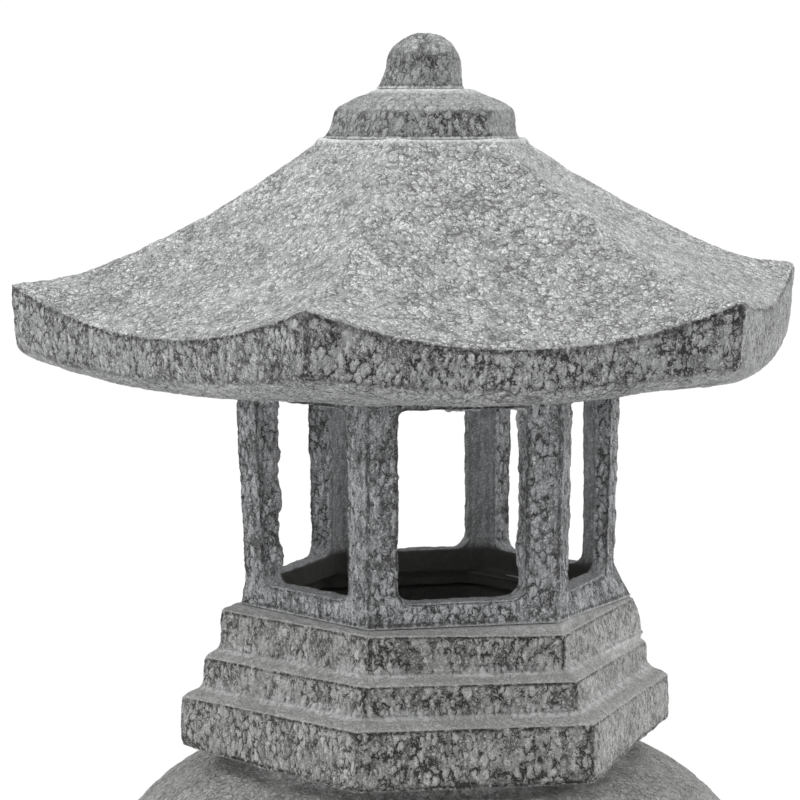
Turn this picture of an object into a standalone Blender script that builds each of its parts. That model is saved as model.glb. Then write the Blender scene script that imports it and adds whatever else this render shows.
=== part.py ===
"""Hexagonal stone garden lantern, built from the separate stones it is stacked from.

The origin is on the ground under the lantern's axis and Z is up. Two corners of the
hexagon lie on the X axis, so one of its flat faces looks towards -Y. Metres throughout.
"""

import math

import bmesh
import bpy

# Driving dimensions. Hexagonal stones are given by the radius out to their corners.
GAP = 0.0003               # clearance between neighbouring pieces
HEX = 6                    # sides of the platform and the firebox

BASE_HEIGHT = 0.205        # ground to the underside of the platform
BASE_NECK_R = 0.102        # neck under the platform
DOME_R = 0.1715            # round dome, at its widest
DOME_MID_Z = 0.1375        # height of the dome's widest circle
DOME_RISE = 0.0787         # from there to the top of the full ellipse
FOOT_R = 0.184             # outside of the feet on the ground
WALL = 0.027               # thickness of the dome and legs
LEGS = 3
ARCH_HALF_WIDTH = 0.110    # arch between two legs, at the ground
ARCH_HEIGHT = 0.112
SPIGOT_R = 0.060           # round spigot that centres the platform
SPIGOT_H = 0.0077

STEP_R = (0.1098, 0.1191, 0.1315)      # top edge of each step, upper to lower
STEP_EDGE = (0.0718, 0.0469, 0.0281)   # its height above the platform's underside
TREAD_FALL = 0.0035        # how far each tread slopes down to its edge
SOFT = 0.0014              # rounding of the steps' edges
SEAT_Z = 0.0745            # flat seat of the firebox on the platform
WELL_FLOOR_Z = 0.025       # floor that the candle stands on
WELL_R = 0.084             # well, and the inside of the firebox above it

FIREBOX_FOOT_R = 0.0995
FIREBOX_HEAD_R = 0.1024
FIREBOX_TOP_Z = 0.1983
LIP_R = 0.090              # lip that drops into the well's rebate
LIP_H = 0.008
WINDOW_WIDTH = 0.066
WINDOW_Z = (0.0885, 0.185)
WINDOW_CORNER = 0.007      # rounding of the lower corners; the upper ones are nearly square
WINDOW_TOP_CORNER = 0.0015

EAVE_R = 0.216
EAVE_FOOT_R = 0.2125
SCALLOP_POWER = 2.3        # how quickly a ridge falls away to the sagging panel
SOCKET_Z = (0.1886, 0.1986)            # hexagonal socket over the firebox's head
CEILING_R = 0.082
CEILING_TOP_R = 0.040
CEILING_TOP_Z = 0.240
ROOF_SEAT_Z = 0.3205       # flat top that the collar sits on
ROOF_SEAT_R = 0.053

COLLAR_TENON_R = 0.0125
COLLAR_TENON_L = 0.018
COLLAR_ROUNDNESS = 0.55    # 0 is a hexagon, 1 a circle
COLLAR_TOP_Z = 0.3465
KNOB_SEAT_R = 0.0235
KNOB_TENON_R = 0.009
KNOB_TENON_L = 0.014
KNOB_TOP_Z = 0.3768

CUP_R = 0.019
CUP_H = 0.016
CUP_WALL = 0.0005
WAX_TOP = 0.0022           # wax below the cup's rim
WICK_R = 0.0007
WICK_ABOVE_WAX = 0.0075
WICK_TAB_R = 0.006

ROUND_STEPS = 60           # facets of a large turned stone
SMALL_STEPS = 32
SECTOR_POINTS = 10         # points of a lofted ring between two corners
SHARP_ANGLE = math.radians(32)


def up(height):
    """Height above the ground of a height above the platform's underside."""
    return BASE_HEIGHT + height


def clear_scene():
    for obj in list(bpy.data.objects):
        bpy.data.objects.remove(obj, do_unlink=True)


def make_collection(name):
    collection = bpy.data.collections.new(name)
    bpy.context.scene.collection.children.link(collection)
    return collection


def make_material(name, colour, roughness, metallic=0.0):
    material = bpy.data.materials.new(name)
    material.use_nodes = True
    shader = material.node_tree.nodes["Principled BSDF"]
    shader.inputs["Base Color"].default_value = (*colour, 1.0)
    shader.inputs["Roughness"].default_value = roughness
    shader.inputs["Metallic"].default_value = metallic
    material.diffuse_color = (*colour, 1.0)
    return material


def place(name, mesh, collection):
    obj = bpy.data.objects.new(name, mesh)
    collection.objects.link(obj)
    return obj


def turned(name, profile, steps, closed=False):
    """Turn a profile of (radius, height) points round Z; six steps make a hexagon."""
    mesh = bpy.data.meshes.new(name)
    points = [(radius, 0.0, height) for radius, height in profile]
    edges = [(i, i + 1) for i in range(len(points) - 1)]
    if closed:
        edges.append((len(points) - 1, 0))
    mesh.from_pydata(points, edges, [])
    obj = place(name, mesh, lantern)
    screw = obj.modifiers.new("turn", "SCREW")
    screw.axis = "Z"
    screw.steps = steps
    screw.render_steps = steps
    screw.use_merge_vertices = True
    screw.merge_threshold = 0.00001
    screw.use_smooth_shade = True
    return obj


def hexagon_ring(corner_r, ridge_z, panel_z, roundness=0.0):
    """A ring whose corners are at ridge_z and whose sides sag to panel_z."""
    ring = []
    half_side = math.pi / HEX
    for i in range(HEX * SECTOR_POINTS):
        angle = i * 2 * math.pi / (HEX * SECTOR_POINTS)
        from_middle = (angle % (2 * half_side)) / half_side - 1.0
        straight = corner_r * math.cos(half_side) / math.cos(from_middle * half_side)
        radius = straight + (corner_r - straight) * roundness
        lift = abs(from_middle) ** SCALLOP_POWER
        height = panel_z + (ridge_z - panel_z) * lift
        ring.append((radius * math.cos(angle), radius * math.sin(angle), up(height)))
    return ring


def circle_ring(radius, height):
    return hexagon_ring(radius, height, height, roundness=1.0)


def lofted(name, rings):
    """Skin a stack of rings, from the middle of the top to the middle of the underside."""
    bm = bmesh.new()
    loops = [[bm.verts.new(point) for point in ring] for ring in rings]
    count = len(loops[0])
    for upper, lower in zip(loops, loops[1:]):
        for i in range(count):
            j = (i + 1) % count
            bm.faces.new((upper[i], lower[i], lower[j], upper[j]))
    bm.faces.new(loops[0])
    bm.faces.new(reversed(loops[-1]))
    mesh = bpy.data.meshes.new(name)
    bm.to_mesh(mesh)
    bm.free()
    return place(name, mesh, lantern)


def cut(obj, cutter):
    cutter.hide_render = True
    cutter.display_type = "WIRE"
    boolean = obj.modifiers.new(cutter.name, "BOOLEAN")
    boolean.operation = "DIFFERENCE"
    boolean.solver = "EXACT"
    boolean.object = cutter


def soften(obj, width, segments=2):
    bevel = obj.modifiers.new("soft_edges", "BEVEL")
    bevel.limit_method = "ANGLE"
    bevel.angle_limit = SHARP_ANGLE
    bevel.width = width
    bevel.segments = segments


def settle(obj, material):
    """Apply the modifiers, then shade smooth except across real edges."""
    bpy.context.view_layer.update()
    evaluated = obj.evaluated_get(bpy.context.evaluated_depsgraph_get())
    mesh = bpy.data.meshes.new_from_object(evaluated)
    mesh.name = obj.name
    obj.modifiers.clear()
    obj.data = mesh
    mesh.shade_smooth()
    mesh.set_sharp_from_angle(angle=SHARP_ANGLE)
    mesh.materials.clear()
    mesh.materials.append(material)


def arch_cutter(index):
    """A tunnel with an elliptical top, from inside the hollow out between two legs."""
    bm = bmesh.new()
    bmesh.ops.create_cone(
        bm, cap_ends=True, segments=ROUND_STEPS, radius1=1.0, radius2=1.0, depth=0.22)
    for vert in bm.verts:
        across, rise, along = vert.co
        vert.co = (along + 0.15, across * ARCH_HALF_WIDTH, rise * ARCH_HEIGHT)
    bmesh.ops.recalc_face_normals(bm, faces=bm.faces)
    mesh = bpy.data.meshes.new(f"arch_{index}")
    bm.to_mesh(mesh)
    bm.free()
    cutter = place(mesh.name, mesh, cutters)
    cutter.rotation_euler.z = math.radians(-90) + index * 2 * math.pi / LEGS
    return cutter


def dome_arc(rise, radius, mid_z, from_r, count):
    """Points of an ellipse from from_r, near its top, down to its widest radius."""
    start = math.acos(from_r / radius)
    angles = [start * (1 - i / (count - 1)) for i in range(count)]
    return [(radius * math.cos(a), mid_z + rise * math.sin(a)) for a in angles]


def build_base(material):
    """Round dome on three arched legs, hollow underneath, with a spigot on top."""
    top = BASE_HEIGHT - GAP
    neck = [
        (0.0, top + SPIGOT_H), (SPIGOT_R, top + SPIGOT_H), (SPIGOT_R, top),
        (BASE_NECK_R, top), (BASE_NECK_R - 0.003, top - 0.0030),
        (BASE_NECK_R - 0.002, top - 0.0060), (BASE_NECK_R + 0.004, top - 0.0083)]
    dome = dome_arc(DOME_RISE, DOME_R, DOME_MID_Z, BASE_NECK_R + 0.014, 14)
    leg = [
        (DOME_R - 0.002, 0.112), (DOME_R - 0.006, 0.088), (DOME_R - 0.007, 0.062),
        (DOME_R - 0.002, 0.036), (FOOT_R - 0.004, 0.014), (FOOT_R, 0.004), (FOOT_R, 0.0)]
    inner_leg = [
        (FOOT_R - WALL, 0.0), (FOOT_R - WALL - 0.004, 0.014), (DOME_R - WALL - 0.002, 0.036),
        (DOME_R - WALL - 0.007, 0.062), (DOME_R - WALL - 0.006, 0.088)]
    inner_dome = dome_arc(
        DOME_RISE - 0.039, DOME_R - WALL, DOME_MID_Z - 0.004, 0.030, 9)
    profile = neck + dome + leg + inner_leg + inner_dome[::-1]
    profile.append((0.0, inner_dome[0][1] + 0.0008))
    base = turned("base", profile, ROUND_STEPS)
    for index in range(LEGS):
        cut(base, arch_cutter(index))
    settle(base, material)


def build_platform(material):
    """Three hexagonal steps with a well down the middle."""
    profile = [
        (0.0, up(WELL_FLOOR_Z)), (WELL_R, up(WELL_FLOOR_Z)),
        (WELL_R, up(SEAT_Z - LIP_H - GAP)), (LIP_R + 2 * GAP, up(SEAT_Z - LIP_H - GAP)),
        (LIP_R + 2 * GAP, up(SEAT_Z)), (FIREBOX_FOOT_R + 0.001, up(SEAT_Z))]
    for i, (radius, edge_z) in enumerate(zip(STEP_R, STEP_EDGE)):
        profile.append((radius - SOFT, up(edge_z)))
        profile.append((radius - SOFT * 0.3, up(edge_z - SOFT * 0.4)))
        profile.append((radius, up(edge_z - SOFT)))
        if i + 1 < len(STEP_R):
            profile.append((radius + 0.0007, up(STEP_EDGE[i + 1] + TREAD_FALL)))
    profile += [
        (STEP_R[-1] + 0.0005, up(SOFT)), (STEP_R[-1] + 0.0005 - SOFT, up(0.0)),
        (0.0, up(0.0))]
    platform = turned("platform", profile, HEX)

    bm = bmesh.new()
    depth = SPIGOT_H + GAP
    bmesh.ops.create_cone(
        bm, cap_ends=True, segments=ROUND_STEPS,
        radius1=SPIGOT_R + 2 * GAP, radius2=SPIGOT_R + 2 * GAP, depth=2 * depth)
    mesh = bpy.data.meshes.new("spigot_recess")
    bm.to_mesh(mesh)
    bm.free()
    recess = place("spigot_recess", mesh, cutters)
    recess.location.z = up(0.0)
    cut(platform, recess)
    settle(platform, material)


def window_cutter(index):
    """A bar with rounded edges that opens two opposite windows."""
    low, high = WINDOW_Z
    bm = bmesh.new()
    bmesh.ops.create_cube(bm, size=1.0)
    bmesh.ops.scale(bm, vec=(WINDOW_WIDTH, 0.3, high - low), verts=bm.verts)
    along = [e for e in bm.edges if abs(e.verts[0].co.y - e.verts[1].co.y) > 0.1]
    lower = [e for e in along if e.verts[0].co.z < 0.0]
    upper = [e for e in along if e.verts[0].co.z > 0.0]
    for corners, radius in ((lower, WINDOW_CORNER), (upper, WINDOW_TOP_CORNER)):
        bmesh.ops.bevel(
            bm, geom=corners, offset=radius, segments=4, profile=0.5, affect="EDGES")
    mesh = bpy.data.meshes.new(f"window_pair_{index}")
    bm.to_mesh(mesh)
    bm.free()
    cutter = place(mesh.name, mesh, cutters)
    cutter.location.z = up((low + high) / 2)
    cutter.rotation_euler.z = index * math.pi / 3
    return cutter


def build_firebox(material):
    """Hexagonal stone with six windows, so that six corner posts are left."""
    foot = up(SEAT_Z + GAP)
    profile = [
        (FIREBOX_HEAD_R, up(FIREBOX_TOP_Z)), (FIREBOX_FOOT_R, foot), (LIP_R, foot),
        (LIP_R, foot - LIP_H), (WELL_R, foot - LIP_H), (WELL_R, up(FIREBOX_TOP_Z))]
    firebox = turned("firebox", profile, HEX, closed=True)
    for index in range(HEX // 2):
        cut(firebox, window_cutter(index))
    soften(firebox, 0.0012)
    settle(firebox, material)


def build_roof(material):
    """Six sagging panels between soft ridges, a scalloped eave and a bowled underside."""
    hole_r = COLLAR_TENON_R + GAP
    hole_z = ROOF_SEAT_Z - COLLAR_TENON_L - GAP
    rings = [
        circle_ring(hole_r, hole_z), circle_ring(hole_r, ROOF_SEAT_Z),
        hexagon_ring(ROOF_SEAT_R, ROOF_SEAT_Z, ROOF_SEAT_Z, COLLAR_ROUNDNESS)]
    # corner radius, height on the ridge, height in the middle of the panel, roundness
    slope = [
        (0.0550, 0.3220, 0.3195, 0.50), (0.0620, 0.3172, 0.3145, 0.40),
        (0.0700, 0.3120, 0.3095, 0.30), (0.0830, 0.3030, 0.3003, 0.20),
        (0.0970, 0.2942, 0.2910, 0.12), (0.1100, 0.2860, 0.2822, 0.06),
        (0.1230, 0.2780, 0.2735, 0.02), (0.1370, 0.2702, 0.2648, 0.0),
        (0.1510, 0.2625, 0.2565, 0.0), (0.1650, 0.2560, 0.2487, 0.0),
        (0.1800, 0.2505, 0.2413, 0.0), (0.1950, 0.2476, 0.2343, 0.0),
        (0.2080, 0.2470, 0.2288, 0.0), (EAVE_R - 0.0022, 0.2469, 0.2264, 0.0),
        (EAVE_R - 0.0006, 0.2463, 0.2257, 0.0), (EAVE_R, 0.2446, 0.2240, 0.0)]
    fascia = [
        (EAVE_FOOT_R + 0.0004, 0.2140, 0.2054, 0.0), (EAVE_FOOT_R - 0.0012, 0.2124, 0.2037, 0.0)]
    underside = [
        (0.2080, 0.2100, 0.2010, 0.0), (0.2000, 0.2066, 0.1978, 0.0),
        (0.1850, 0.2030, 0.1950, 0.0), (0.1600, 0.1985, 0.1925, 0.0),
        (0.1300, 0.1930, 0.1904, 0.0), (0.1075, SOCKET_Z[0], SOCKET_Z[0], 0.0)]
    rings += [hexagon_ring(*ring) for ring in slope + fascia + underside]
    socket_r = FIREBOX_HEAD_R + 2 * GAP
    for radius, height in [
            (socket_r, SOCKET_Z[0]), (socket_r, SOCKET_Z[1]), (CEILING_R, SOCKET_Z[1])]:
        rings.append(hexagon_ring(radius, height, height))
    rings.append(hexagon_ring(CEILING_TOP_R, CEILING_TOP_Z, CEILING_TOP_Z))
    settle(lofted("roof", rings), material)


def build_collar(material):
    """Soft hexagonal cap stone of the roof, with a tenon below and a hole on top."""
    hole_r = KNOB_TENON_R + GAP
    bottom = ROOF_SEAT_Z + GAP
    rings = [
        circle_ring(hole_r, COLLAR_TOP_Z - KNOB_TENON_L - GAP),
        circle_ring(hole_r, COLLAR_TOP_Z), circle_ring(KNOB_SEAT_R, COLLAR_TOP_Z)]
    side = [
        (0.0300, 0.3450), (0.0380, 0.3417), (0.0440, 0.3388), (0.0470, 0.3362),
        (0.0482, 0.3330), (0.0488, 0.3285), (0.0500, 0.3245), (0.0514, 0.3215),
        (0.0512, bottom)]
    rings += [hexagon_ring(r, z, z, COLLAR_ROUNDNESS) for r, z in side]
    rings += [
        circle_ring(COLLAR_TENON_R, bottom),
        circle_ring(COLLAR_TENON_R, bottom - COLLAR_TENON_L + GAP)]
    settle(lofted("roof_collar", rings), material)


def build_knob(material):
    """Round-topped jewel with a straight tenon."""
    bottom = COLLAR_TOP_Z + GAP
    crown_z = 0.3585
    crown_r = 0.0207
    crown = []
    for i in range(8):
        angle = math.radians(90 * (1 - i / 8))
        crown.append((crown_r * math.cos(angle), crown_z + (KNOB_TOP_Z - crown_z) * math.sin(angle)))
    crown[0] = (0.0, KNOB_TOP_Z)
    side = [
        (crown_r, crown_z), (0.0213, 0.3540), (0.0222, 0.3500), (0.0230, bottom),
        (KNOB_TENON_R, bottom), (KNOB_TENON_R, bottom - KNOB_TENON_L + GAP),
        (0.0, bottom - KNOB_TENON_L + GAP)]
    profile = [(radius, up(height)) for radius, height in crown + side]
    settle(turned("finial_knob", profile, SMALL_STEPS), material)


def build_candle(tin, wax, cotton):
    """A tealight in the well: tin cup, wax with a hole, wick on its own small tab."""
    floor = up(WELL_FLOOR_Z) + GAP
    rim = floor + CUP_H
    inner_floor = floor + CUP_WALL
    cup = [
        (0.0, inner_floor), (CUP_R - CUP_WALL - 0.0006, inner_floor),
        (CUP_R - CUP_WALL, rim), (CUP_R, rim), (CUP_R - 0.0006, floor), (0.0, floor)]
    settle(turned("candle_cup", cup, SMALL_STEPS), tin)

    tab_low = inner_floor + GAP
    tab_high = tab_low + 0.0004
    wax_low = tab_high + GAP
    wax_high = rim - WAX_TOP
    wax_r = CUP_R - CUP_WALL - 0.0006 - GAP
    block = [
        (wax_r - 0.0005, wax_high), (wax_r, wax_high - 0.0005), (wax_r, wax_low),
        (WICK_R + GAP, wax_low), (WICK_R + GAP, wax_high - 0.0006), (0.0030, wax_high - 0.0003)]
    settle(turned("candle_wax", block, SMALL_STEPS, closed=True), wax)

    wick_top = wax_high + WICK_ABOVE_WAX
    wick = [
        (0.0, wick_top), (WICK_R, wick_top), (WICK_R, tab_high), (WICK_TAB_R, tab_high),
        (WICK_TAB_R, tab_low), (0.0, tab_low)]
    settle(turned("candle_wick", wick, 24), cotton)


clear_scene()
lantern = make_collection("stone_lantern")
cutters = make_collection("cutters")

build_base(make_material("base_stone", (0.30, 0.31, 0.31), 0.90))
build_platform(make_material("platform_stone", (0.31, 0.31, 0.31), 0.90))
build_firebox(make_material("firebox_stone", (0.29, 0.30, 0.32), 0.90))
build_roof(make_material("roof_stone", (0.34, 0.35, 0.35), 0.90))
build_collar(make_material("collar_stone", (0.33, 0.33, 0.33), 0.90))
build_knob(make_material("knob_stone", (0.31, 0.31, 0.31), 0.90))
build_candle(
    make_material("candle_tin", (0.80, 0.80, 0.80), 0.35, metallic=1.0),
    make_material("candle_wax", (0.90, 0.87, 0.78), 0.50),
    make_material("candle_cotton", (0.85, 0.83, 0.76), 0.90))
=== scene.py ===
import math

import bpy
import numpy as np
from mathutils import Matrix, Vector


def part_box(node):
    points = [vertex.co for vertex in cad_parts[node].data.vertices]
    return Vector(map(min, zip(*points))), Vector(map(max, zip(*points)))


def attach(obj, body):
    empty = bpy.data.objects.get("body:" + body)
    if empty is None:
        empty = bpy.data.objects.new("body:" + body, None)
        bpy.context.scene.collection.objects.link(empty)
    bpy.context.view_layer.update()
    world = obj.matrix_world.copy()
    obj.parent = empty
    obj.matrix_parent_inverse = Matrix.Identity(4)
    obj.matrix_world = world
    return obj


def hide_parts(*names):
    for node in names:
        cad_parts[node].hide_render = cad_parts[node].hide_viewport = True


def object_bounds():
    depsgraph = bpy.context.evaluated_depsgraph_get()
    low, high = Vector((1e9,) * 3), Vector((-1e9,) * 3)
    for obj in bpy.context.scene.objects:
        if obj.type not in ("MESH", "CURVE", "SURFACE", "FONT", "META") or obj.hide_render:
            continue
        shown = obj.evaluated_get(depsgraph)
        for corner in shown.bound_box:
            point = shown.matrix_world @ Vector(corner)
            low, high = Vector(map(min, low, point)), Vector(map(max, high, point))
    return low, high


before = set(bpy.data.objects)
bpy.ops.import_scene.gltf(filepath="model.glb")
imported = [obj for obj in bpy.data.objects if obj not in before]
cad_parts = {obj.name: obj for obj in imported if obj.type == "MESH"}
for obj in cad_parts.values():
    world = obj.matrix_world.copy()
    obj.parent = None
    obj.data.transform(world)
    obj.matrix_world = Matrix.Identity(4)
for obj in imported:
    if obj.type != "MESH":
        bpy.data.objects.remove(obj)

# The looks of a stacked stone lantern. Every stone starts from its CAD solid, is remeshed
# finely, worn round at its edges and carved with the cracks and crumbs of a rough casting.
# The same cracks drive the carving and the colour, so the dark lines lie in real hollows.

CAD_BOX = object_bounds()

# Camera, metres and degrees.
CAMERA_AZIMUTH = -12.8         # the flat front face looks along -Y
CAMERA_DISTANCE = 1.400        # from the lantern's axis
CAMERA_HEIGHT = 0.541
CAMERA_PITCH = 6.30            # down
CAMERA_YAW = 0.56              # to the left of the axis
CAMERA_LENS = 118.6            # mm on a 36 mm sensor

# Stage, metres.
FLOOR_RADIUS = 14.0
FLOOR_NEAR = 0.45              # the floor fades from paper to plain white between these
FLOOR_FAR = 0.62
FLOOR_GAP = 0.0005             # under the lantern's feet
WORLD_LIGHT = 0.50             # strength of the white room on the stones
WHITE_STRENGTH = 1.02          # and of the white that the camera sees
LIGHT_TARGET = (0.0, 0.0, 0.4)
LIGHTS = {                     # place, width in metres and power in watts
    "top_box": ((-0.3, -0.2, 2.3), 1.8, 26.0),
    "left_box": ((-2.0, -0.5, 0.9), 1.2, 9.0),
    "right_box": ((2.0, 0.1, 0.9), 1.2, 12.0),
    "front_box": ((0.5, -2.4, 0.9), 1.4, 4.5),
}

# Stone texture: sizes and depths in metres.
CELL = 0.0038                  # plates between two cracks
FINE_CELL = 0.0019             # and the crumbs some of them break into
LUMP = 0.0018
STRETCH = (1.0, 1.0, 0.55)     # plates are taller than they are wide
COARSE_JAG = 0.0048            # how far noise pulls the cracks about
FINE_JAG = 0.0022
CARVED_SOFTNESS = 0.08         # how gradually a crack begins, as a share of a plate
PAINTED_SOFTNESS = 0.026
CRACK_DEPTH = 0.00065
PIT_DEPTH = 0.00045
LUMP_DEPTH = 0.00025
PLATE_DEPTH = 0.00035          # plates are domed
LEVEL_DEPTH = 0.00040          # plates stand at different heights
SWELL_DEPTH = 0.00070          # slow unevenness of a whole face
RIPPLE_DEPTH = 0.00060
FLASH_HEIGHT = 0.00320         # casting flash on the window reveals
RAGGED_HEIGHT = 0.00090
GRIT_HEIGHT = 0.00022          # only in the bump
FLECK_HEIGHT = 0.00050
PAINTED_LIP_OFFSET = (0.00045, 0.00020, -0.00060)      # across a plate, from its painted lit rim to its painted dark one

# Colours.
WHITE = (1.0, 1.0, 1.0)
BLACK = (0.0, 0.0, 0.0)
PAPER = (0.86, 0.86, 0.86)
DARK = (0.036, 0.035, 0.033)
SOOT = (0.072, 0.071, 0.067)
CHALK = (0.70, 0.71, 0.71)
FIELD_TONE = 0.16              # how much plates, lumps and levels each brighten the stone
# painted shade: how far undersides are darkened towards black
PAINTED_UNDER_SHADE = 0.03

# Heights and directions of the lantern.
CORNERS = (0.0, 60.0, 120.0, 180.0, 240.0, 300.0, 360.0)    # degrees
PLATFORM_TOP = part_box("platform")[1].z
SILL_Z = PLATFORM_TOP + 0.014
COLLAR_FOOT = 0.5255
KNOB_FOOT = 0.5515

# Bands that step() blends across: where one thing ends and the next begins, in metres.
SEAT_BAND = (0.0004, 0.0022)            # away from the plane where two stones meet
HOLLOW_FLOOR = (0.225, 0.229)           # soot inside starts over the well's floor
HOLLOW_TOP = (0.45, 0.46)               # and ends under the roof
SHELTER_FLOOR = (0.20, 0.21)            # no dust settles inside above this
WINDOW_SILL = (SILL_Z, SILL_Z + 0.010)
WINDOW_HEAD = (0.392, 0.396)
REVEAL_INSIDE = (0.0725, 0.0745)        # from the axis
REVEAL_OUTSIDE = (0.0765, 0.0835)
REBATE_WIDTH = 0.006
BEND_RADIUS = 0.0026                    # over which edges and hollow corners are felt
EDGE_BEND = 0.00045                     # a bend that counts as a full edge
HOLLOW_BEND = 0.0004


class Graph:
    """Adds nodes to a shader or a geometry tree, and joins them up."""

    def __init__(self, tree):
        self.tree = tree

    def add(self, kind, inputs=None, **settings):
        node = self.tree.nodes.new(kind)
        for name, value in settings.items():
            setattr(node, name, value)
        for key, value in (inputs or {}).items():
            if isinstance(value, bpy.types.NodeSocket):
                self.tree.links.new(value, node.inputs[key])
            else:
                node.inputs[key].default_value = value
        return node

    def math(self, operation, a, b):
        return self.add("ShaderNodeMath", {0: a, 1: b}, operation=operation).outputs[0]

    def product(self, *factors):
        result = factors[0]
        for factor in factors[1:]:
            result = self.math("MULTIPLY", result, factor)
        return result

    def vector(self, operation, a, b):
        node = self.add("ShaderNodeVectorMath", {0: a, 1: b}, operation=operation)
        return node.outputs[0]

    def ramp(self, value, low, high, start=0.0, end=1.0):
        node = self.add(
            "ShaderNodeMapRange", {0: value, 1: low, 2: high, 3: start, 4: end},
            interpolation_type="SMOOTHSTEP")
        return node.outputs[0]

    def noise(self, vector, scale, detail=2.0, output=0):
        node = self.add(
            "ShaderNodeTexNoise", {"Vector": vector, "Scale": scale, "Detail": detail})
        return node.outputs[output]

    def voronoi(self, vector, size, feature="F1"):
        return self.add(
            "ShaderNodeTexVoronoi", {"Vector": vector, "Scale": 1.0 / size}, feature=feature)

    def edges(self, vector, size):
        return self.voronoi(vector, size, "DISTANCE_TO_EDGE").outputs["Distance"]

    def mix(self, factor, below, colour):
        """The colour laid over what is below it, as strongly as the factor says."""
        inputs = {0: factor, 6: below, 7: (*colour, 1.0)}
        return self.add("ShaderNodeMix", inputs, data_type="RGBA").outputs[2]


def jag(graph, position, scale, detail, size):
    """A vector that points any way, up to about half of size long."""
    offset = graph.noise(position, scale, detail, output=1)
    offset = graph.vector("SUBTRACT", offset, (0.5, 0.5, 0.5))
    return graph.vector("MULTIPLY", offset, (size, size, size))


def coarse_cracks(graph, position, rough, to_edge, soft):
    """Cracks between plates, which open and close along their length and lie in a faint dip; in
    the colour the dip is painted shade around each crack.
    """
    gape = graph.ramp(graph.noise(position, 240.0, 3.0), 0.36, 0.66, -0.02, 0.085)
    drift = graph.ramp(graph.noise(position, 48.0), 0.35, 0.65, -0.03, 0.03)
    gape = graph.math("ADD", gape, drift)
    gape = graph.product(gape, graph.ramp(rough, 0.0, 1.0, 0.25, 1.0))
    open_by = graph.math("SUBTRACT", gape, to_edge)
    crack = graph.ramp(open_by, -soft, soft)
    # carved as a shallow dip, and in the colour painted shade around the crack
    dip_and_painted_shade = graph.ramp(open_by, -0.12, 0.02, 0.0, 0.28)
    return graph.math("MAXIMUM", crack, dip_and_painted_shade)


def fine_cracks(graph, tall, rough, to_edge, soft):
    """Fainter cracks that break some of the plates into crumbs."""
    gape = graph.ramp(graph.noise(tall, 130.0, 3.0), 0.46, 0.66, -0.03, 0.11)
    gape = graph.product(gape, graph.ramp(rough, 0.0, 1.0, 0.2, 1.0))
    open_by = graph.math("SUBTRACT", gape, to_edge)
    return graph.ramp(open_by, -2.0 * soft, 2.0 * soft, 0.0, 0.72)


def stone_fields(graph, position, rough, soft):
    """Cracks, pits, lumps, plates and level, from 0 to 1, shared by the carving and the colour.

    Plates are domed between their cracks, and level is one random depth for each plate.
    """
    tall = graph.vector("MULTIPLY", position, STRETCH)
    warped = graph.vector("ADD", tall, jag(graph, position, 260.0, 5.0, COARSE_JAG))
    warped = graph.vector("ADD", warped, jag(graph, position, 1000.0, 3.0, FINE_JAG))
    to_edge = graph.edges(warped, CELL)
    cracks = graph.math(
        "MAXIMUM", coarse_cracks(graph, position, rough, to_edge, soft),
        fine_cracks(graph, tall, rough, graph.edges(warped, FINE_CELL), soft))
    pits = graph.ramp(graph.noise(tall, 520.0, 5.0), 0.350, 0.350 - 1.4 * soft)
    plates = graph.ramp(to_edge, 0.0, 0.34)
    lumps = graph.ramp(graph.voronoi(warped, LUMP).outputs["Distance"], 0.12, 0.72, 1.0, 0.0)
    colour = graph.voronoi(warped, CELL).outputs["Color"]
    level = graph.add("ShaderNodeSeparateXYZ", {0: colour}).outputs[0]
    return cracks, pits, lumps, plates, level


def stone_depth(graph, fields, rough):
    """How deep the stone is carved, in metres."""
    cracks, pits, lumps, plates, level = fields
    depth = graph.product(cracks, CRACK_DEPTH)
    hollows = graph.math("SUBTRACT", 1.0, lumps)
    rims = graph.math("SUBTRACT", 1.0, plates)
    for field, size in ((pits, PIT_DEPTH), (hollows, LUMP_DEPTH), (rims, PLATE_DEPTH),
                        (level, LEVEL_DEPTH)):
        depth = graph.math("ADD", depth, graph.product(field, size))
    return graph.product(depth, rough)


def slow_depth(graph, position):
    """The slow unevenness of a face, in metres."""
    swell = graph.product(graph.noise(position, 38.0), SWELL_DEPTH)
    ripple = graph.product(graph.ramp(graph.noise(position, 95.0), 0.35, 0.65), RIPPLE_DEPTH)
    return graph.math("ADD", swell, ripple)


def flash_height(graph, position):
    """How far casting flash stands out of a window reveal, in metres."""
    bulge = graph.ramp(graph.noise(position, 40.0, 3.0), 0.50, 0.66, 0.0, FLASH_HEIGHT)
    ragged = graph.ramp(graph.noise(position, 180.0, 4.0), 0.47, 0.64, 0.0, RAGGED_HEIGHT)
    return graph.math("ADD", bulge, ragged)


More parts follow.
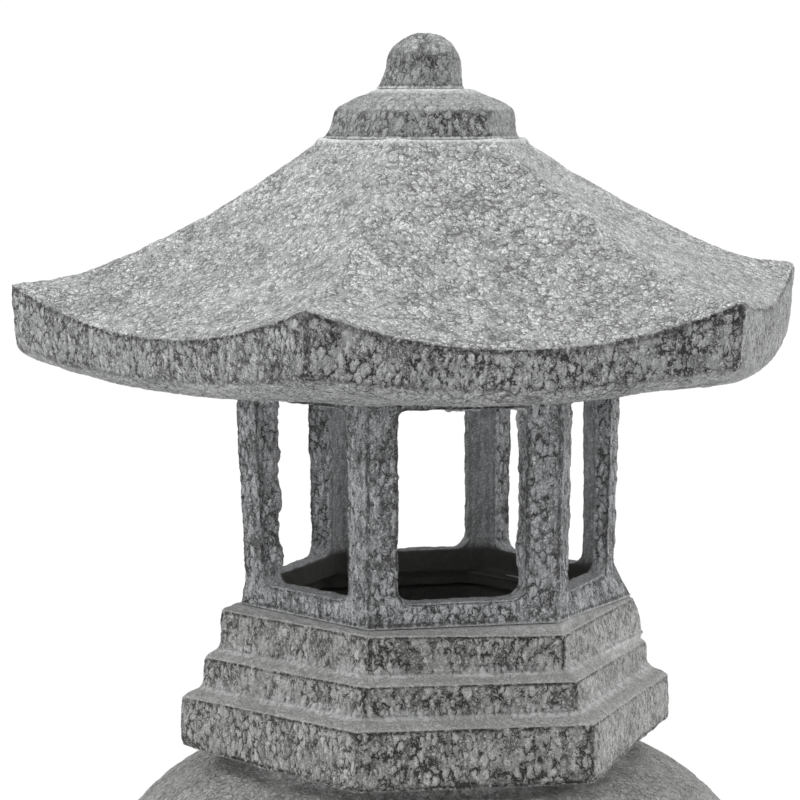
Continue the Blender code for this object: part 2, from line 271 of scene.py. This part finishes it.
def relief_tree():
    """Geometry nodes that carve the cracks into a stone and raise the flash in its windows.

    The place of each point before the carving is kept as "rest", for the colour to follow.
    """
    tree = bpy.data.node_groups.new("carved_relief", "GeometryNodeTree")
    tree.interface.new_socket("Geometry", in_out="INPUT", socket_type="NodeSocketGeometry")
    tree.interface.new_socket("Geometry", in_out="OUTPUT", socket_type="NodeSocketGeometry")
    graph = Graph(tree)
    group_in = graph.add("NodeGroupInput")
    position = graph.add("GeometryNodeInputPosition").outputs[0]
    normal = graph.add("GeometryNodeInputNormal").outputs[0]

    def read(label):
        return graph.add(
            "GeometryNodeInputNamedAttribute", {"Name": label}, data_type="FLOAT").outputs[0]

    stored = graph.add(
        "GeometryNodeStoreNamedAttribute",
        {"Geometry": group_in.outputs[0], "Name": "rest", "Value": position},
        data_type="FLOAT_VECTOR", domain="POINT")
    rough = read("rough")
    fields = stone_fields(graph, position, rough, CARVED_SOFTNESS)
    slow = graph.product(slow_depth(graph, position), read("free"))
    depth = graph.math("ADD", stone_depth(graph, fields, rough), slow)
    flash = graph.product(flash_height(graph, position), read("flash"))
    depth = graph.math("SUBTRACT", depth, flash)
    offset = graph.add(
        "ShaderNodeVectorMath", {0: normal, "Scale": graph.product(depth, -1.0)},
        operation="SCALE").outputs[0]
    moved = graph.add(
        "GeometryNodeSetPosition", {"Geometry": stored.outputs[0], "Offset": offset})
    group_out = graph.add("NodeGroupOutput")
    tree.links.new(moved.outputs[0], group_out.inputs[0])
    return tree


def mesh_of(obj):
    """The mesh of an object with its modifiers applied."""
    bpy.context.view_layer.update()
    graph = bpy.context.evaluated_depsgraph_get()
    return bpy.data.meshes.new_from_object(obj.evaluated_get(graph))


def apply_modifiers(obj):
    old = obj.data
    obj.data = mesh_of(obj)
    obj.modifiers.clear()
    bpy.data.meshes.remove(old)


def read_points(mesh):
    points = np.empty(len(mesh.vertices) * 3, np.float32)
    mesh.vertices.foreach_get("co", points)
    return points.reshape(-1, 3).astype(float)


def write_points(mesh, points):
    mesh.vertices.foreach_set("co", points.astype(np.float32).ravel())
    mesh.update()


def read_normals(mesh):
    normals = np.empty(len(mesh.vertices) * 3, np.float32)
    mesh.vertex_normals.foreach_get("vector", normals)
    return normals.reshape(-1, 3).astype(float)


def read_edges(mesh):
    edges = np.empty(len(mesh.edges) * 2, np.int32)
    mesh.edges.foreach_get("vertices", edges)
    return edges.reshape(-1, 2)


def store(mesh, name, values):
    layer = mesh.attributes.new(name, "FLOAT", "POINT")
    layer.data.foreach_set("value", values.astype(np.float32))


def step(value, low, high):
    """0 up to low, 1 from high on, and smooth between them."""
    t = np.clip((value - low) / (high - low), 0.0, 1.0)
    return t * t * (3.0 - 2.0 * t)


def relax(points, edges, rounds):
    """Moves every point halfway to the middle of its neighbours, some rounds over."""
    a, b = edges[:, 0], edges[:, 1]
    count = len(points)
    around = np.bincount(a, minlength=count) + np.bincount(b, minlength=count)
    around = np.maximum(around, 1)[:, None]
    points = points.copy()
    for _ in range(rounds):
        total = np.empty_like(points)
        for axis in range(points.shape[1]):
            total[:, axis] = (np.bincount(a, points[b, axis], count)
                              + np.bincount(b, points[a, axis], count))
        points += 0.5 * (total / around - points)
    return points


def rounds_for(radius, voxel):
    """Rounds of relax() that spread each point over about this radius."""
    return max(1, round(4.0 * (radius / voxel) ** 2))


def bearing(points):
    """Directions of points from the axis, from 0 to 360 degrees."""
    return np.degrees(np.arctan2(points[:, 1], points[:, 0])) % 360.0


def by_corner(angle, *values):
    """Values given for the corners at 0, 60, 120, 180, 240 and 300 degrees, blended between."""
    return np.interp(angle, CORNERS, (*values, values[0]))


def hexagon_sides(points, normals=None):
    """Distance from the axis along the nearest flat side's normal, and how far each point's
    own normal follows that side's."""
    best = np.full(len(points), -1.0)
    along = np.zeros(len(points))
    for k in range(6):
        angle = math.radians(30 + 60 * k)
        side = np.array((math.cos(angle), math.sin(angle)))
        distance = points[:, :2] @ side
        nearer = distance > best
        best[nearer] = distance[nearer]
        if normals is not None:
            along[nearer] = normals[nearer, :2] @ side
    return best, along


def remeshed_copy(node, voxel):
    """A copy of a CAD node, with its surface in small even faces."""
    piece = bpy.data.objects.new(node + "_carved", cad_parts[node].data.copy())
    bpy.context.scene.collection.objects.link(piece)
    remesh = piece.modifiers.new("even_mesh", "REMESH")
    remesh.mode = "VOXEL"
    remesh.voxel_size = voxel
    remesh.adaptivity = 0.0
    apply_modifiers(piece)
    return piece


def nearness(points, seats):
    """1 at the heights where a stone meets its neighbours, and 0 away from them."""
    near = np.zeros(len(points))
    for height in seats:
        away = step(np.abs(points[:, 2] - height), *SEAT_BAND)
        near = np.maximum(near, 1.0 - away)
    return near


def blunt_ends(points, worn, edges, rounds):
    """Worn points, rounded further at the corners that point to the viewer's right and left."""
    azimuth = math.radians(CAMERA_AZIMUTH)
    across = points[:, 0] * math.cos(azimuth) + points[:, 1] * math.sin(azimuth)
    reach = np.abs(across).max()
    right = step(across, 0.55 * reach, 0.85 * reach)
    left = 0.9 * step(-across, 0.82 * reach, 0.96 * reach)
    blunter = relax(points, edges, rounds)
    return worn + (blunter - worn) * np.maximum(right, left)[:, None]


def hollow_inside(height, apothem):
    """1 inside the well and the firebox, where soot and dark are."""
    rebate = REBATE_WIDTH * (1.0 - step(height, SILL_Z - 0.016, SILL_Z - 0.012))
    inner = 1.0 - step(apothem, 0.0738 + rebate, 0.0762 + rebate)
    return inner * (step(height, *HOLLOW_FLOOR) * (1.0 - step(height, *HOLLOW_TOP)))


def window_reveals(height, up, apothem, along):
    """1 on the inner half of the window reveals, where casting flash stands."""
    framed = step(height, *WINDOW_SILL) * (1.0 - step(height, *WINDOW_HEAD))
    framed *= (1.0 - step(apothem, *REVEAL_OUTSIDE)) * step(apothem, *REVEAL_INSIDE)
    return framed * ((1.0 - step(np.abs(along), 0.35, 0.85)) * (1.0 - step(up, 0.2, 0.5)))


def calmness(node, normals):
    """How much smoother a side is than the front, which is the most crazed."""
    facing = np.degrees(np.arctan2(normals[:, 1], normals[:, 0]))
    calm = np.interp(
        facing, (-180.0, -150.0, -90.0, -30.0, 30.0, 90.0, 150.0, 180.0),
        (0.34, 0.26, 0.0, 0.52, 0.2, 0.1, 0.3, 0.34))
    share = 0.3 if node == "firebox" else 1.0
    return calm * ((1.0 - 0.5 * step(normals[:, 2], 0.3, 0.8)) * share)


def store_fields(node, mesh, points, edges, voxel, rough, near_seat):
    """Stores on each point what its carving and its colour follow."""
    normals = read_normals(mesh)
    up, height = normals[:, 2], points[:, 2]
    apothem, along = hexagon_sides(points, normals)
    around = bearing(points)
    wide = relax(points, edges, rounds_for(BEND_RADIUS, voxel))
    bend = np.einsum("ij,ij->i", wide - points, normals)
    convex = relax(np.clip(-bend / EDGE_BEND, 0.0, 1.0)[:, None], edges, 3)[:, 0]
    inner = hollow_inside(height, apothem)
    sheltered = (1.0 - step(apothem, 0.078, 0.082)) * step(height, *SHELTER_FLOOR)
    sheltered *= 1.0 - step(height, *HOLLOW_TOP)
    framed = window_reveals(height, up, apothem, along)
    pale_reveal = framed * step(around, 284.0, 288.0) * (1.0 - step(around, 298.0, 304.0))
    flash = framed * by_corner(around, 0.45, 0.6, 0.4, 1.0, 0.8, 0.5)
    chalky = np.maximum(1.0 - step(height, SILL_Z - 0.003, SILL_Z + 0.005), pale_reveal)
    side, top, under = rough
    relief = side + (top - side) * step(up, 0.25, 0.62) + (under - side) * step(-up, 0.25, 0.7)
    relief *= (1.0 - calmness(node, normals)) * (1.0 - 0.75 * inner) * (1.0 - near_seat)
    seam_dust = 0.45 if node in ("firebox", "platform") else 1.0

    store(mesh, "free", 1.0 - near_seat)
    store(mesh, "rough", relief)
    store(mesh, "chalky", chalky * (node == "firebox"))
    store(mesh, "edge", convex)
    store(mesh, "flash", flash * (node == "firebox"))
    store(mesh, "hollow", np.clip(bend / HOLLOW_BEND, 0.0, 1.0) * (1.0 - sheltered))
    store(mesh, "inner", inner * (1.0 - step(height, SILL_Z - 0.0015, SILL_Z + 0.0045)))
    store(mesh, "seam", near_seat * (1.0 - sheltered) * seam_dust)
    store(mesh, "upward", step(up, 0.2, 0.8) - step(-up, 0.25, 0.7))


def stone(node, body, voxel, wear, rough, seats, material, shape, mushy=0.0):
    """A carved stone from a CAD node.

    wear is the rounding of its edges, rough the relief on its sides, tops and undersides, and
    seats the heights at which it meets its neighbours and stays sharp. shape bends it towards
    the photograph, and mushy is a larger rounding for the corners that point left and right.
    """
    piece = remeshed_copy(node, voxel)
    edges = read_edges(piece.data)
    points = read_points(piece.data)
    worn = relax(points, edges, rounds_for(wear, voxel))
    if mushy:
        worn = blunt_ends(points, worn, edges, rounds_for(mushy, voxel))
    near_seat = nearness(points, seats)
    points = worn + (points - worn) * near_seat[:, None]
    write_points(piece.data, points)
    store_fields(node, piece.data, points, edges, voxel, rough, near_seat)
    write_points(piece.data, shape(points))

    carve = piece.modifiers.new("relief", "NODES")
    carve.node_group = RELIEF
    apply_modifiers(piece)
    piece.data.shade_smooth()
    piece.data.materials.clear()
    piece.data.materials.append(material)
    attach(piece, body)
    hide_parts(node)
    print(node, len(piece.data.vertices), "points")


class StoneGraph(Graph):
    """A stone's shader, whose colour follows the carving and the fields on its points."""

    def __init__(self, tree):
        super().__init__(tree)
        self.position = self.attribute("rest", "Vector")
        self.rough = self.attribute("rough")
        self.upward = self.attribute("upward")
        self.fields = stone_fields(self, self.position, self.rough, PAINTED_SOFTNESS)
        self.grit = self.noise(self.position, 1250.0, 3.0)
        self.fleck = self.noise(self.position, 480.0, 3.0)
        self.patch = self.noise(self.position, 85.0, 4.0)
        self.cloud = self.noise(self.position, 40.0, 4.0)

    def attribute(self, label, output="Fac"):
        return self.add("ShaderNodeAttribute", attribute_name=label).outputs[output]

    def painted_lip_shading(self):
        """Painted light on the upper left lip of every lump and plate, and painted shade under the
        other.
        """
        _, _, lumps, plates, level = self.fields
        aside = self.vector("ADD", self.position, PAINTED_LIP_OFFSET)
        _, _, far_lumps, far_plates, far_level = stone_fields(
            self, aside, self.rough, PAINTED_SOFTNESS)
        # painted light and shade: the upper left rim of each plate and lump lighter, the other rim
        # darker
        painted_lip_shading = 0.0
        for lit, unlit, share in (
                (far_lumps, lumps, 0.30), (far_plates, plates, 0.40), (level, far_level, 0.42)):
            painted_lip_shading = self.math("ADD", self.product(self.math("SUBTRACT", lit, unlit), share), painted_lip_shading)
        return painted_lip_shading

    def tone(self, painted_lip_shading):
        """How bright the stone is before any wash or brushing, with the painted light and shade on
        the lips of its plates.
        """
        _, _, lumps, plates, level = self.fields
        tone = painted_lip_shading
        for field in (level, lumps, plates):
            tone = self.math("ADD", tone, self.product(field, FIELD_TONE))
        return self.math("ADD", tone, self.ramp(self.grit, 0.38, 0.62, -0.04, 0.48))

    def bare_stone(self, tone, low, high, painted_side_shade):
        """The stone's colour, with painted shade that darkens its sides and undersides."""
        shade = self.math("ADD", tone, self.ramp(self.cloud, 0.3, 0.7, -0.13, 0.13))
        bare = self.mix(self.ramp(shade, 0.16, 0.86), (*low, 1.0), high)
        # painted shade: sides and undersides mixed towards black
        bare = self.mix(self.ramp(self.upward, 0.0, 1.0, painted_side_shade, 0.0), bare, BLACK)
        return self.mix(self.ramp(self.upward, -1.0, 0.0, PAINTED_UNDER_SHADE, 0.0), bare, BLACK)

    def brushing(self, tone, painted_lip_shading, brush_and_top_light):
        """Pale brushing on what stands out, in patches, lit further by the painted light on the
        lips; where it is stronger on tops than on sides, that is painted top light.
        """
        lit = self.math("ADD", tone, self.ramp(self.patch, 0.36, 0.66, -0.20, 0.20))
        lit = self.math("ADD", lit, self.product(self.attribute("chalky"), 0.40))
        lit = self.ramp(self.math("ADD", lit, painted_lip_shading), 0.61, 0.92)
        # painted top light: the brushing's strength rises from sides to tops
        return self.product(lit, self.ramp(self.upward, 0.0, 1.0, *brush_and_top_light))

    def streaks(self, strength):
        """Pale streaks that run down the stone."""
        tall = self.vector("MULTIPLY", self.position, (1.0, 1.0, 0.14))
        return self.ramp(self.noise(tall, 420.0, 3.0), 0.44, 0.68, 0.0, strength)

    def wash(self, edge_wash):
        """Dark wash in the cracks and pits, with painted shade in the faint dip around each crack,
        and in patches along the worn edges.
        """
        cracks, pits = self.fields[:2]
        deep = self.math(
            "MAXIMUM", self.product(cracks, self.ramp(self.rough, 0.05, 0.9, 0.30, 0.95)),
            self.product(pits, self.ramp(self.rough, 0.15, 1.0, 0.0, 0.75)))
        worn = self.product(
            self.ramp(self.attribute("edge"), 0.34, 0.78, 0.0, edge_wash),
            self.ramp(self.fleck, 0.64, 0.42), self.ramp(self.patch, 0.30, 0.55, 0.45, 1.0),
            self.ramp(self.rough, 0.05, 0.5, 0.35, 0.95),
            self.ramp(self.upward, 0.2, 0.9, 1.0, 0.08))
        return self.math("MAXIMUM", deep, worn)

    def dust(self):
        """Chalk in the hollow corners and in the joints between two stones."""
        corner = self.product(
            self.ramp(self.attribute("hollow"), 0.20, 0.7), self.ramp(self.fleck, 0.45, 0.54),
            self.ramp(self.cloud, 0.38, 0.55, 0.15, 0.95))
        joint = self.product(self.attribute("seam"), self.ramp(self.fleck, 0.40, 0.58, 0.10, 0.80))
        return self.math("MAXIMUM", corner, joint)

    def bump(self):
        """The carving once more, with the grit that is too fine for the mesh."""
        fine = self.math(
            "ADD", self.product(self.grit, GRIT_HEIGHT), self.product(self.fleck, FLECK_HEIGHT))
        height = self.math("SUBTRACT", fine, stone_depth(self, self.fields, self.rough))
        node = self.add("ShaderNodeBump", {"Strength": 1.0, "Distance": 1.8, "Height": height})
        return node.outputs[0]


def principled(name, kind=Graph):
    material = bpy.data.materials.new(name)
    material.use_nodes = True
    shader = material.node_tree.nodes["Principled BSDF"]
    return material, kind(material.node_tree), shader


def stone_material(name, low, high, brushed, brush_and_top_light, streaks=0.0, painted_side_shade=0.0, edge_wash=1.0):
    """Weathered cast stone: dark wash in the cracks and pits, pale brushing on the lumps, and
    painted light and shade on the lips of the plates, on the sides and on the undersides.

    low and high are the colours of the hollows and the lumps, brushed that of the brushing,
    and the next argument the brushing's strength on sides and on tops; a stronger brushing on
    tops is painted top light. The side shade is painted shade on the sides, and edge_wash is
    the strength of the dark wash along the worn edges.
    """
    material, graph, shader = principled(name, StoneGraph)
    # painted light and shade on the lips of the plates
    painted_lip_shading = graph.painted_lip_shading()
    tone = graph.tone(painted_lip_shading)
    colour = graph.bare_stone(tone, low, high, painted_side_shade)
    colour = graph.mix(graph.brushing(tone, painted_lip_shading, brush_and_top_light), colour, brushed)
    if streaks:
        colour = graph.mix(graph.streaks(streaks), colour, brushed)
    colour = graph.mix(graph.wash(edge_wash), colour, DARK)
    colour = graph.mix(graph.dust(), colour, CHALK)
    colour = graph.mix(graph.attribute("inner"), colour, SOOT)
    gloss = graph.ramp(graph.grit, 0.3, 0.7, 0.74, 0.92)
    graph.tree.links.new(colour, shader.inputs["Base Color"])
    graph.tree.links.new(graph.bump(), shader.inputs["Normal"])
    graph.tree.links.new(gloss, shader.inputs["Roughness"])
    shader.inputs["Specular IOR Level"].default_value = 0.3
    return material


def plain_material(name, colour, roughness, metallic=0.0, grain=600.0, depth=0.00005):
    """A simple material with a little grain in its colour, gloss and surface."""
    material, graph, shader = principled(name)
    position = graph.add("ShaderNodeTexCoord").outputs["Object"]
    grains = graph.noise(position, grain, 4.0)
    darker = (*[c * 0.88 for c in colour], 1.0)
    tone = graph.mix(graph.ramp(grains, 0.3, 0.7), darker, colour)
    gloss = graph.ramp(grains, 0.3, 0.7, roughness - 0.06, roughness + 0.06)
    bump = graph.add("ShaderNodeBump", {"Strength": 0.5, "Distance": depth, "Height": grains})
    graph.tree.links.new(tone, shader.inputs["Base Color"])
    graph.tree.links.new(gloss, shader.inputs["Roughness"])
    graph.tree.links.new(bump.outputs[0], shader.inputs["Normal"])
    shader.inputs["Metallic"].default_value = metallic
    return material


def keep_node(node, material):
    """A CAD node whose shape is right keeps it, and gets a finished material."""
    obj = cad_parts[node]
    obj.data.materials.clear()
    obj.data.materials.append(material)
    obj.data.shade_smooth()
    obj.data.set_sharp_from_angle(angle=math.radians(32))


def slide(points, amount, distance, turn=0.0):
    """Points moved to the viewer's right by distance and turned, both times amount."""
    azimuth = math.radians(CAMERA_AZIMUTH)
    angle = math.radians(turn) * amount
    x = points[:, 0] * np.cos(angle) - points[:, 1] * np.sin(angle)
    y = points[:, 0] * np.sin(angle) + points[:, 1] * np.cos(angle)
    x += math.cos(azimuth) * distance * amount
    y += math.sin(azimuth) * distance * amount
    return np.column_stack((x, y, points[:, 2]))


def roof_shape(points):
    """The eaves are turned and bent a little; the socket and the ceiling are not."""
    radius = np.hypot(points[:, 0], points[:, 1])
    outside = np.maximum(step(radius, 0.105, 0.135), step(points[:, 2], 0.447, 0.460))
    outside *= step(radius, 0.026, 0.050)
    points = slide(points, outside, -0.0015 * (1.0 - step(radius, 0.06, 0.12)), turn=2.3)
    # Angle from the viewer's side: the turned corners are at -15, 45, 105 and so on.
    angle = np.degrees(np.arctan2(points[:, 1], points[:, 0])) + 90.0 - CAMERA_AZIMUTH
    angle = (angle + 180.0) % 360.0 - 180.0
    pulled = np.interp(
        angle, (-135.0, -75.0, -15.0, 45.0, 105.0, 165.0),
        (0.0, -0.0062, 0.0, 0.0, -0.0030, 0.0))
    points = slide(points, step(radius, 0.10, 0.20), pulled)
    raised = np.interp(
        angle, (-135.0, -75.0, -15.0, 45.0, 60.0, 75.0, 90.0, 105.0, 165.0),
        (0.0, 0.0025, 0.0, 0.0, 0.0095, 0.0125, 0.0110, 0.0077, 0.0))
    above = step(points[:, 2], 0.414, 0.434)
    points[:, 2] += raised * step(radius, 0.06, 0.175) * above
    return points


def cap_shape(foot, shifts, widen, socket=True):
    """A cap stone that sits off its tenon, and whose foot fills the joint under it.

    shifts are how far it sits to the right at its foot and higher up, and a cap with a socket
    in its top keeps that socket on the axis.
    """
    def shape(points):
        radius = np.hypot(points[:, 0], points[:, 1])
        outside = step(radius, 0.014, 0.022)
        if not socket:
            outside = np.maximum(outside, step(points[:, 2], foot, foot + 0.002))
        points[:, :2] *= (1.0 + widen * outside)[:, None]
        shift = shifts[0] + (shifts[1] - shifts[0]) * step(points[:, 2], foot, foot + 0.014)
        points = slide(points, outside, shift)
        at_foot = 1.0 - step(np.abs(points[:, 2] - foot), 0.0003, 0.0012)
        points[:, 2] -= 0.00026 * at_foot * step(radius, 0.018, 0.024)
        return points
    return shape


def firebox_shape(points):
    """The back corners stand to the right, and the right corner's foot flares over the tread."""
    height = points[:, 2]
    angle = bearing(points)
    apothem = hexagon_sides(points)[0]
    free = np.maximum(
        step(height, PLATFORM_TOP, PLATFORM_TOP + 0.002), step(apothem, 0.0785, 0.0810))
    free *= 1.0 - step(height, 0.385, 0.394)
    spread = np.interp(
        angle, (0.0, 60.0, 120.0, 180.0, 240.0, 270.0, 291.0, 300.0, 360.0),
        (0.0072, 0.0078, 0.0090, 0.0, 0.0004, 0.0004, -0.0012, 0.0012, 0.0072))
    spread -= step(height, 0.30, 0.385) * by_corner(angle, 0.0, 0.0, 0.0, 0.0016, 0.0, 0.0)
    foot = 1.0 - step(height, PLATFORM_TOP, PLATFORM_TOP + 0.016)
    spread += foot * by_corner(angle, 0.0090, 0.003, 0.0, -0.0015, 0.0, 0.0)
    # The reveals to the right of the front window and of its neighbour open or close inwards.
    framed = step(height, SILL_Z - 0.004, SILL_Z + 0.004) * (1.0 - step(apothem, 0.073, 0.086))
    spread += framed * np.interp(
        angle, (0.0, 5.0, 10.0, 284.0, 289.0, 300.0, 308.0, 340.0, 349.0, 360.0),
        (0.0036, 0.0018, 0.0, 0.0, -0.0015, -0.0015, 0.0, 0.0, 0.0040, 0.0036))
    drop = by_corner(angle, 0.0034, 0.0008, 0.0, 0.0, 0.0, 0.0)
    points = slide(points, free, spread)
    points[:, 2] -= foot * free * drop
    return points


def platform_shape(points):
    """The steps are a little narrow in front, long at both ends, and unevenly high."""
    radius = np.hypot(points[:, 0], points[:, 1])
    height = points[:, 2].copy()
    angle = bearing(points)
    outside = step(hexagon_sides(points)[0], 0.087, 0.094)
    spread = by_corner(angle, 0.0078, 0.0070, 0.0060, -0.0030, 0.0046, -0.0036)
    slope = step(height, 0.2519, 0.2560) * (1.0 - 0.6 * step(height, 0.258, 0.2795))
    spread += slope * by_corner(angle, 0.0068, 0.0020, 0.0, 0.0, 0.0, 0.0)
    points[:, 0] += spread * outside * radius / 0.125
    first = step(height, 0.262, 0.276)
    third = 1.0 - step(height, 0.236, 0.244)
    second = (1.0 - first) * (1.0 - third)
    skirt = 1.0 - step(height, 0.207, 0.220)
    lift = first * by_corner(angle, 0.0, 0.0, 0.0, 0.0015, 0.0027, -0.0005)
    lift += second * by_corner(angle, 0.0, 0.0, 0.0, 0.0015, 0.0040, 0.0018)
    lift += third * by_corner(angle, 0.0, 0.0, 0.0, 0.0, 0.0026, 0.0006)
    sag = skirt * by_corner(angle, 0.0, 0.0, 0.0, 0.0015, 0.0048, 0.0045)
    lift -= sag * step(radius, 0.096, 0.112)
    points[:, 2] += lift * outside
    return points


def base_shape(points):
    """The dome sits a little to the right of its spigot."""
    radius = np.hypot(points[:, 0], points[:, 1])
    return slide(points, step(radius, 0.075, 0.11), 0.0024)


def soft_light(name, place, width, power):
    light = bpy.data.lights.new(name, "AREA")
    light.shape = "DISK"
    light.size = width
    light.energy = power
    obj = bpy.data.objects.new(name, light)
    obj.location = place
    bpy.context.scene.collection.objects.link(obj)
    direction = Vector(LIGHT_TARGET) - obj.location
    obj.rotation_euler = direction.to_track_quat("-Z", "Y").to_euler()


def make_floor():
    """A pale floor that fades to white."""
    bpy.ops.mesh.primitive_circle_add(vertices=96, radius=FLOOR_RADIUS, fill_type="NGON")
    floor = bpy.context.object
    floor.name = "floor"
    floor.location.z = CAD_BOX[0].z - FLOOR_GAP
    material, graph, shader = principled("floor_paper")
    position = graph.add("ShaderNodeTexCoord").outputs["Object"]
    length = graph.add("ShaderNodeVectorMath", {0: position}, operation="LENGTH").outputs["Value"]
    shader.inputs["Base Color"].default_value = (*PAPER, 1.0)
    shader.inputs["Roughness"].default_value = 0.9
    white = graph.add(
        "ShaderNodeEmission", {"Color": (*WHITE, 1.0), "Strength": WHITE_STRENGTH})
    blend = graph.add(
        "ShaderNodeMixShader",
        {0: graph.ramp(length, FLOOR_NEAR, FLOOR_FAR), 1: shader.outputs[0], 2: white.outputs[0]})
    output = graph.tree.nodes["Material Output"]
    graph.tree.links.new(blend.outputs[0], output.inputs["Surface"])
    floor.data.materials.append(material)


def make_room():
    """A plain world that the camera sees as white, and that lights the stones more softly."""
    world = bpy.data.worlds.new("white_room")
    world.use_nodes = True
    graph = Graph(world.node_tree)
    lit = world.node_tree.nodes["Background"]
    lit.inputs["Color"].default_value = (*WHITE, 1.0)
    lit.inputs["Strength"].default_value = WORLD_LIGHT
    seen = graph.add(
        "ShaderNodeBackground", {"Color": (*WHITE, 1.0), "Strength": WHITE_STRENGTH})
    path = graph.add("ShaderNodeLightPath")
    both = graph.add("ShaderNodeMixShader", {
        0: path.outputs["Is Camera Ray"], 1: lit.outputs[0], 2: seen.outputs[0]})
    output = world.node_tree.nodes["World Output"]
    world.node_tree.links.new(both.outputs[0], output.inputs["Surface"])
    bpy.context.scene.world = world


def make_camera():
    azimuth = math.radians(CAMERA_AZIMUTH)
    data = bpy.data.cameras.new("camera")
    data.lens = CAMERA_LENS
    data.sensor_width = 36.0
    camera = bpy.data.objects.new("camera", data)
    camera.location = (
        CAMERA_DISTANCE * math.sin(azimuth), -CAMERA_DISTANCE * math.cos(azimuth), CAMERA_HEIGHT)
    camera.rotation_euler = (
        math.radians(90.0 - CAMERA_PITCH), 0.0, azimuth + math.radians(CAMERA_YAW))
    bpy.context.scene.collection.objects.link(camera)
    bpy.context.scene.camera = camera


bpy.context.scene.view_settings.view_transform = "Standard"
RELIEF = relief_tree()

# painted top light: the roof and the cap are brushed far more strongly on tops than on sides
ROOF = stone_material(
    "roof_stone", low=(0.38, 0.385, 0.388), high=(0.64, 0.645, 0.645),
    brushed=(0.90, 0.91, 0.91), brush_and_top_light=(0.25, 0.95), painted_side_shade=0.08)
CAP = stone_material(
    "cap_stone", low=(0.32, 0.325, 0.328), high=(0.48, 0.485, 0.485),
    brushed=(0.74, 0.75, 0.75), brush_and_top_light=(0.25, 0.6), painted_side_shade=0.06)
GREY = stone_material(
    "grey_stone", low=(0.40, 0.40, 0.39), high=(0.64, 0.64, 0.63),
    brushed=(0.76, 0.77, 0.77), brush_and_top_light=(0.35, 0.3))
BASE = stone_material(
    "base_stone", low=(0.40, 0.40, 0.39), high=(0.61, 0.61, 0.60),
    brushed=(0.76, 0.77, 0.77), brush_and_top_light=(0.4, 0.4))
POST = stone_material(
    "post_stone", low=(0.28, 0.285, 0.292), high=(0.50, 0.507, 0.517),
    brushed=(0.74, 0.75, 0.77), brush_and_top_light=(0.5, 0.5), streaks=0.30, edge_wash=0.85)

stone("roof", "roof", voxel=0.0012, wear=0.0018, rough=(1.0, 0.52, 0.6),
      seats=(COLLAR_FOOT,), material=ROOF, shape=roof_shape, mushy=0.0036)
stone("roof_collar", "roof_collar", voxel=0.0008, wear=0.0020,
      rough=(0.8, 0.4, 0.3), seats=(COLLAR_FOOT, KNOB_FOOT), material=CAP,
      shape=cap_shape(COLLAR_FOOT, (-0.0022, -0.0006), widen=0.04))
stone("finial_knob", "finial_knob", voxel=0.0008, wear=0.0010,
      rough=(0.8, 0.6, 0.3), seats=(KNOB_FOOT,), material=CAP,
      shape=cap_shape(KNOB_FOOT, (-0.0030, -0.0012), widen=0.015, socket=False))
stone("firebox", "firebox", voxel=0.0009, wear=0.0008,
      rough=(0.75, 0.2, 0.2), seats=(PLATFORM_TOP,), material=POST, shape=firebox_shape)
stone("platform", "platform", voxel=0.0010, wear=0.0011,
      rough=(1.0, 0.12, 0.3), seats=(PLATFORM_TOP,), material=GREY, shape=platform_shape,
      mushy=0.0034)
stone("base", "base", voxel=0.0018, wear=0.0016, rough=(0.5, 0.5, 0.3),
      seats=(), material=BASE, shape=base_shape)

TIN = plain_material("bright_tin", (0.80, 0.80, 0.81), roughness=0.30, metallic=1.0)
WAX = plain_material("candle_wax", (0.90, 0.87, 0.78), roughness=0.45, grain=300.0)
COTTON = plain_material(
    "wick_cotton", (0.85, 0.83, 0.76), roughness=0.9, grain=2500.0, depth=0.0001)
keep_node("candle_cup", TIN)
keep_node("candle_wax", WAX)
keep_node("candle_wick", COTTON)

make_floor()
make_room()
for light_name, (place, width, power) in LIGHTS.items():
    soft_light(light_name, place, width, power)
make_camera()
